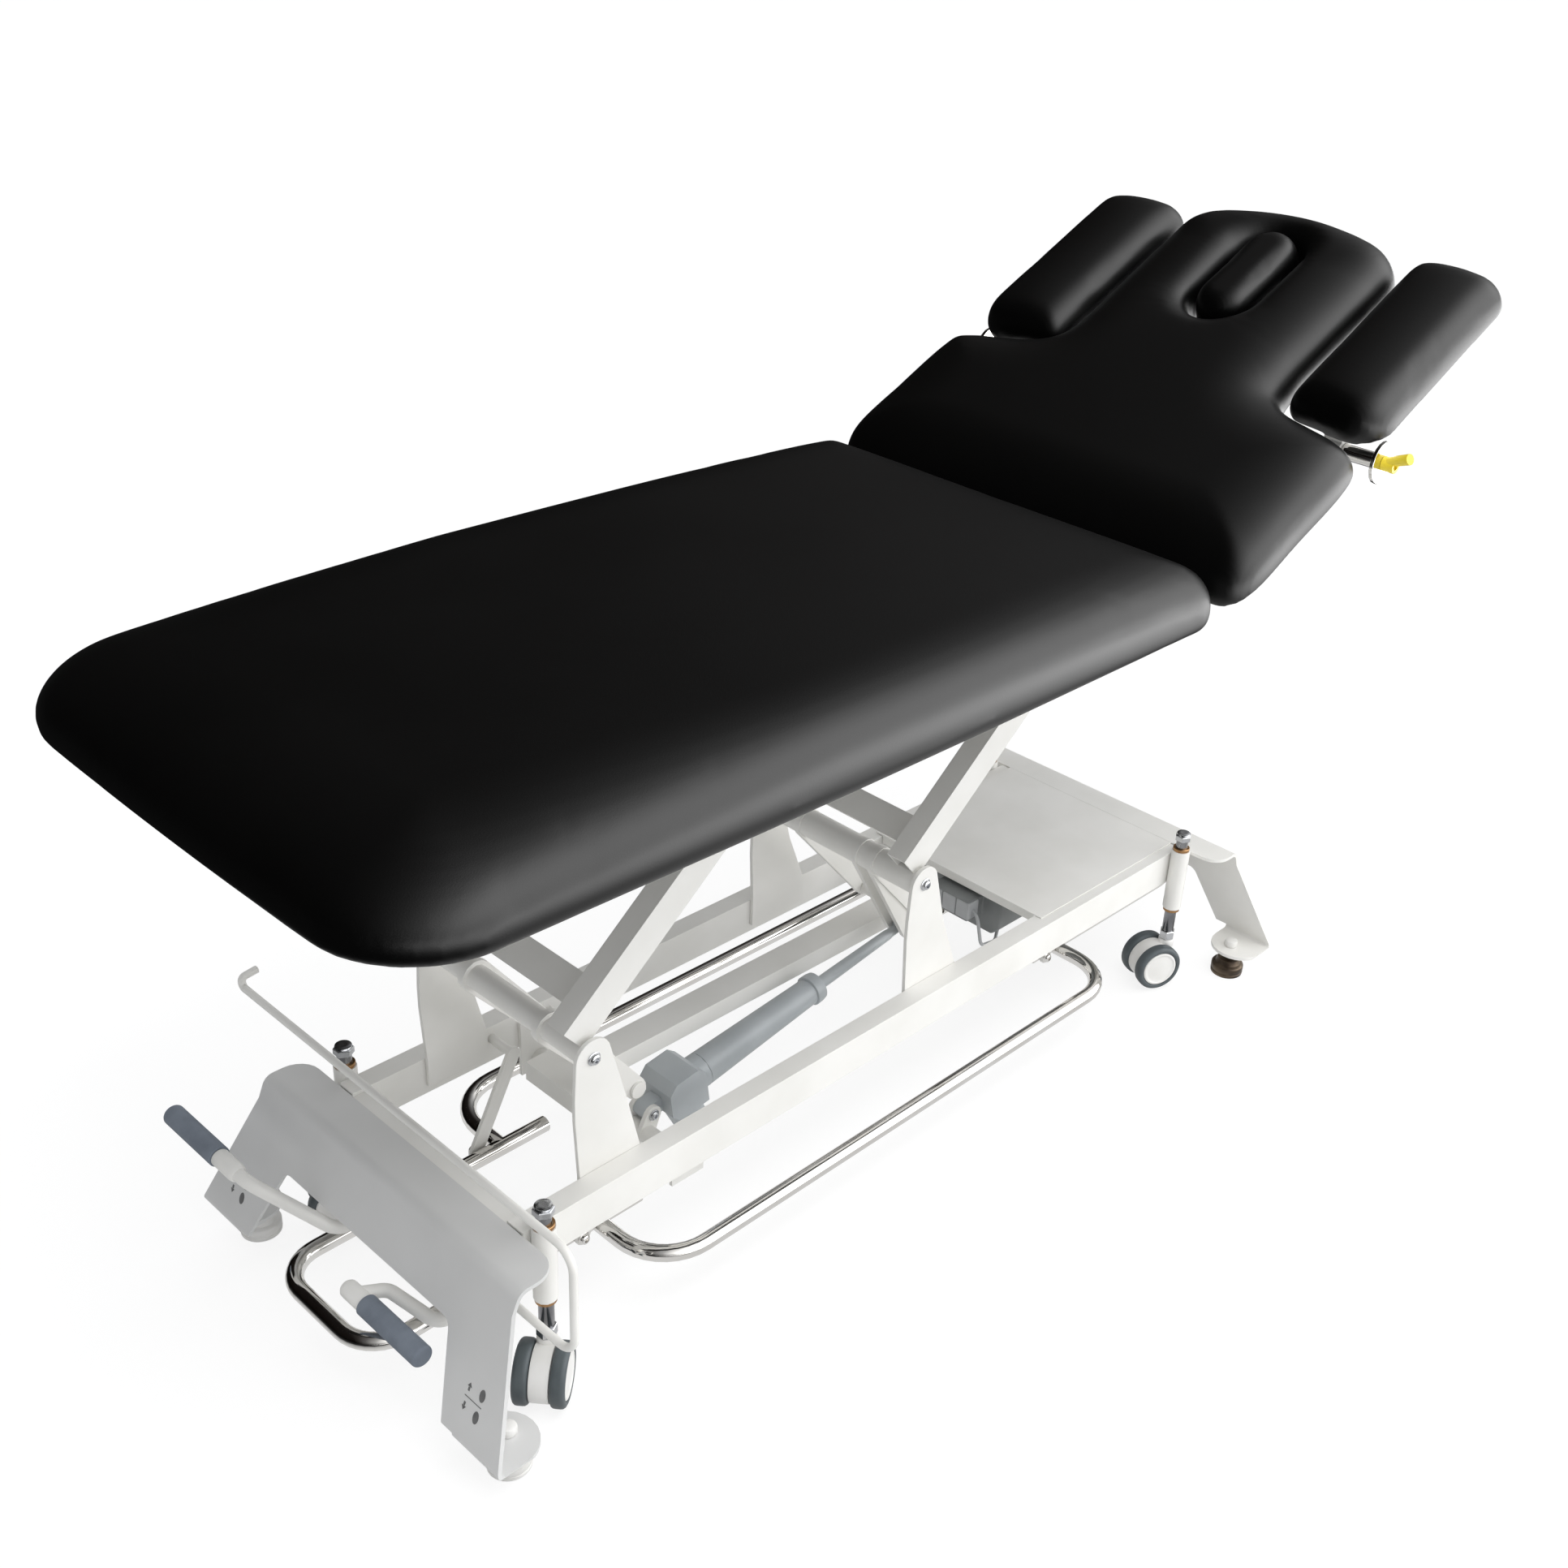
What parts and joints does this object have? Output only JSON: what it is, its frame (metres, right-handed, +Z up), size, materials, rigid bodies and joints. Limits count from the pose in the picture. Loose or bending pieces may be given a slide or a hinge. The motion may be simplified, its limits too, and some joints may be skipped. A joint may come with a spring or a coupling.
{
  "type": "electric massage table",
  "caption": "Height-adjustable padded treatment table: parallel lift arms on a steel base, tilting head section with face opening and drop armrests, retractable castors.",
  "frame": {"origin": "centre of the table's box, on the floor", "axes": "+Z up, +X toward the head end, +Y toward the far side"},
  "size_m": [1.8778, 0.7579, 1.0961],
  "materials": {
    "white_paint": "warm white powder coat, satin",
    "silver_paint": "silver-grey metallic powder coat",
    "chrome": "bright chrome",
    "leatherette": "black satin leatherette over foam",
    "actuator_grey": "light grey satin",
    "box_grey": "dark grey moulded plastic",
    "grip_grey": "blue-grey soft grip",
    "castor_white": "white moulded plastic",
    "tyre_grey": "slate grey tread",
    "dark_steel": "dark bronze-brown steel and rubber",
    "lever_yellow": "yellow moulded plastic"
  },
  "bodies": {
    "base": {"rail_near": "white_paint", "rail_far": "white_paint", "foot_stand_plate": "silver_paint", "head_stand_plate": "silver_paint", "foot_cross_beam": "white_paint", "head_cross_beam": "white_paint", "pivot_plate_foot_near": "white_paint", "pivot_plate_foot_far": "white_paint", "pivot_plate_head_near": "white_paint", "pivot_plate_head_far": "white_paint", "foot_pivot_shaft": "chrome", "head_pivot_shaft": "chrome", "actuator_bracket": "white_paint", "actuator_rear_pin": "chrome", "control_box": "box_grey", "control_box_cover": "white_paint", "paper_roll_rod": "white_paint", "levelling_foot_foot_near": "dark_steel", "levelling_foot_foot_far": "dark_steel", "levelling_foot_head_near": "dark_steel", "levelling_foot_head_far": "dark_steel"},
    "foot_arm": {"foot_lift_arm": "white_paint"},
    "head_arm": {"head_lift_arm": "white_paint"},
    "tie": {"tie_beam": "white_paint"},
    "top": {"top_frame": "white_paint", "body_cushion": "leatherette", "head_hinge_pin": "dark_steel"},
    "head_section": {"head_frame": "white_paint", "head_cushion": "leatherette", "armrest_cross_tube": "chrome"},
    "face_plug": {"face_plug": "leatherette"},
    "armrest_near": {"armrest_cushion_near": "leatherette", "armrest_bracket_near": "white_paint"},
    "armrest_far": {"armrest_cushion_far": "leatherette", "armrest_bracket_far": "white_paint"},
    "clamp_near": {"armrest_clamp_lever_near": "lever_yellow"},
    "clamp_far": {"armrest_clamp_lever_far": "lever_yellow"},
    "actuator": {"actuator_motor_housing": "actuator_grey", "actuator_outer_tube": "actuator_grey"},
    "actuator_rod": {"actuator_rod": "actuator_grey"},
    "pedal_near": {"castor_pedal_near": "white_paint", "castor_pedal_grip_near": "grip_grey"},
    "pedal_far": {"castor_pedal_far": "white_paint", "castor_pedal_grip_far": "grip_grey"},
    "strut_foot": {"foot_control_strut_foot": "white_paint"},
    "control_bar": {"foot_control_bar": "chrome"},
    "strut_head": {"foot_control_strut_head": "white_paint"},
    "castor_post_foot_near": {"castor_post_foot_near": "chrome"},
    "castor_body_foot_near": {"castor_body_foot_near": "castor_white"},
    "castor_wheels_foot_near": {"castor_wheels_foot_near": "tyre_grey"},
    "castor_post_foot_far": {"castor_post_foot_far": "chrome"},
    "castor_body_foot_far": {"castor_body_foot_far": "castor_white"},
    "castor_wheels_foot_far": {"castor_wheels_foot_far": "tyre_grey"},
    "castor_post_head_near": {"castor_post_head_near": "chrome"},
    "castor_body_head_near": {"castor_body_head_near": "castor_white"},
    "castor_wheels_head_near": {"castor_wheels_head_near": "tyre_grey"},
    "castor_post_head_far": {"castor_post_head_far": "chrome"},
    "castor_body_head_far": {"castor_body_head_far": "castor_white"},
    "castor_wheels_head_far": {"castor_wheels_head_far": "tyre_grey"}
  },
  "joints": [
    {"name": "lift", "type": "hinge", "parent": "base", "child": "foot_arm", "pos_m": [-0.5649, 0, 0.38], "axis": [0, -1, 0], "range_deg": [-43, 16]},
    {"name": "head_arm_pivot", "type": "hinge", "parent": "base", "child": "head_arm", "pos_m": [-0.0229, 0, 0.38], "axis": [0, -1, 0], "range_deg": [-44, 17]},
    {"name": "top_pivot", "type": "hinge", "parent": "foot_arm", "child": "top", "pos_m": [-0.30942, 0, 0.63504], "axis": [0, -1, 0], "range_deg": [-17, 44]},
    {"name": "tie_pivot", "type": "hinge", "parent": "foot_arm", "child": "tie", "pos_m": [-0.43997, 0, 0.22898], "axis": [0, -1, 0], "range_deg": [-17, 44]},
    {"name": "actuator_swing", "type": "hinge", "parent": "base", "child": "actuator", "pos_m": [-0.4099, -0.052, 0.171], "axis": [0, -1, 0], "range_deg": [-2, 2]},
    {"name": "actuator_stroke", "type": "slide", "parent": "actuator", "child": "actuator_rod", "axis": [0.9888, 0, 0.149], "range_m": [-0.116, 0.045]},
    {"name": "head_tilt", "type": "hinge", "parent": "top", "child": "head_section", "pos_m": [0.2851, 0, 0.7235], "axis": [0, -1, 0], "range_deg": [-55, 9]},
    {"name": "face_plug_lift", "type": "slide", "parent": "head_section", "child": "face_plug", "axis": [-0.4337, 0, 0.9011], "range_m": [0, 0.1]},
    {"name": "armrest_drop_near", "type": "hinge", "parent": "head_section", "child": "armrest_near", "pos_m": [0.6181, -0.27, 0.86601], "axis": [0, 1, 0], "range_deg": [0, 60]},
    {"name": "armrest_clamp_near", "type": "hinge", "parent": "head_section", "child": "clamp_near", "pos_m": [0.6181, -0.35, 0.86601], "axis": [0, 1, 0], "range_deg": [0, 90]},
    {"name": "armrest_drop_far", "type": "hinge", "parent": "head_section", "child": "armrest_far", "pos_m": [0.6181, 0.27, 0.86601], "axis": [0, 1, 0], "range_deg": [0, 60]},
    {"name": "armrest_clamp_far", "type": "hinge", "parent": "head_section", "child": "clamp_far", "pos_m": [0.6181, 0.35, 0.86601], "axis": [0, 1, 0], "range_deg": [0, 90]},
    {"name": "pedal_far_press", "type": "hinge", "parent": "base", "child": "pedal_far", "pos_m": [-0.7239, 0.064, 0.118], "axis": [0, -1, 0], "range_deg": [0, 24]},
    {"name": "pedal_near_lift", "type": "hinge", "parent": "base", "child": "pedal_near", "pos_m": [-0.7239, -0.128, 0.118], "axis": [0, 1, 0], "range_deg": [0, 24]},
    {"name": "castor_drop_foot_near", "type": "slide", "parent": "base", "child": "castor_post_foot_near", "axis": [0, 0, -1], "range_m": [0, 0.0121]},
    {"name": "castor_swivel_foot_near", "type": "hinge", "parent": "castor_post_foot_near", "child": "castor_body_foot_near", "pos_m": [-0.6695, -0.1886, 0.06], "axis": [0, 0, 1], "continuous": true},
    {"name": "castor_roll_foot_near", "type": "hinge", "parent": "castor_body_foot_near", "child": "castor_wheels_foot_near", "pos_m": [-0.68636, -0.20274, 0.0405], "axis": [0.6428, -0.766, 0], "continuous": true},
    {"name": "castor_drop_foot_far", "type": "slide", "parent": "base", "child": "castor_post_foot_far", "axis": [0, 0, -1], "range_m": [0, 0.0121]},
    {"name": "castor_swivel_foot_far", "type": "hinge", "parent": "castor_post_foot_far", "child": "castor_body_foot_far", "pos_m": [-0.6695, 0.1886, 0.06], "axis": [0, 0, 1], "continuous": true},
    {"name": "castor_roll_foot_far", "type": "hinge", "parent": "castor_body_foot_far", "child": "castor_wheels_foot_far", "pos_m": [-0.68856, 0.1996, 0.0405], "axis": [-0.5, -0.866, 0], "continuous": true},
    {"name": "castor_drop_head_near", "type": "slide", "parent": "base", "child": "castor_post_head_near", "axis": [0, 0, -1], "range_m": [0, 0.0121]},
    {"name": "castor_swivel_head_near", "type": "hinge", "parent": "castor_post_head_near", "child": "castor_body_head_near", "pos_m": [0.5317, -0.1886, 0.06], "axis": [0, 0, 1], "continuous": true},
    {"name": "castor_roll_head_near", "type": "hinge", "parent": "castor_body_head_near", "child": "castor_wheels_head_near", "pos_m": [0.51176, -0.1793, 0.0405], "axis": [-0.4226, -0.9063, 0], "continuous": true},
    {"name": "castor_drop_head_far", "type": "slide", "parent": "base", "child": "castor_post_head_far", "axis": [0, 0, -1], "range_m": [0, 0.0121]},
    {"name": "castor_swivel_head_far", "type": "hinge", "parent": "castor_post_head_far", "child": "castor_body_head_far", "pos_m": [0.5317, 0.1886, 0.06], "axis": [0, 0, 1], "continuous": true},
    {"name": "castor_roll_head_far", "type": "hinge", "parent": "castor_body_head_far", "child": "castor_wheels_head_far", "pos_m": [0.51176, 0.1793, 0.0405], "axis": [0.4226, -0.9063, 0], "continuous": true},
    {"name": "foot_control", "type": "hinge", "parent": "base", "child": "strut_foot", "pos_m": [-0.4899, 0, 0.208], "axis": [0, 1, 0], "range_deg": [-5, 5], "stiffness_Nm_per_rad": 150, "springref_deg": 2.29},
    {"name": "control_bar_pivot", "type": "hinge", "parent": "strut_foot", "child": "control_bar", "pos_m": [-0.5509, 0, 0.087], "axis": [0, 1, 0], "range_deg": [-5.5, 5.5]},
    {"name": "control_strut_head", "type": "hinge", "parent": "base", "child": "strut_head", "pos_m": [0.3941, 0, 0.208], "axis": [0, 1, 0], "range_deg": [-5.5, 5.5]}
  ],
  "couplings": [
    {"joint": "head_arm_pivot", "follows": "lift", "ratio": 1},
    {"joint": "top_pivot", "follows": "lift", "ratio": -1},
    {"joint": "tie_pivot", "follows": "lift", "ratio": -1},
    {"joint": "actuator_swing", "follows": "lift", "ratio": 0.02},
    {"joint": "actuator_stroke", "follows": "lift", "m_per_rad": 0.1518},
    {"joint": "pedal_near_lift", "follows": "pedal_far_press", "ratio": 1},
    {"joint": "castor_drop_foot_near", "follows": "pedal_far_press", "m_per_rad": 0.0286},
    {"joint": "castor_drop_foot_far", "follows": "pedal_far_press", "m_per_rad": 0.0286},
    {"joint": "castor_drop_head_near", "follows": "pedal_far_press", "m_per_rad": 0.0286},
    {"joint": "castor_drop_head_far", "follows": "pedal_far_press", "m_per_rad": 0.0286},
    {"joint": "control_bar_pivot", "follows": "foot_control", "ratio": -1},
    {"joint": "control_strut_head", "follows": "foot_control", "ratio": 1}
  ]
}
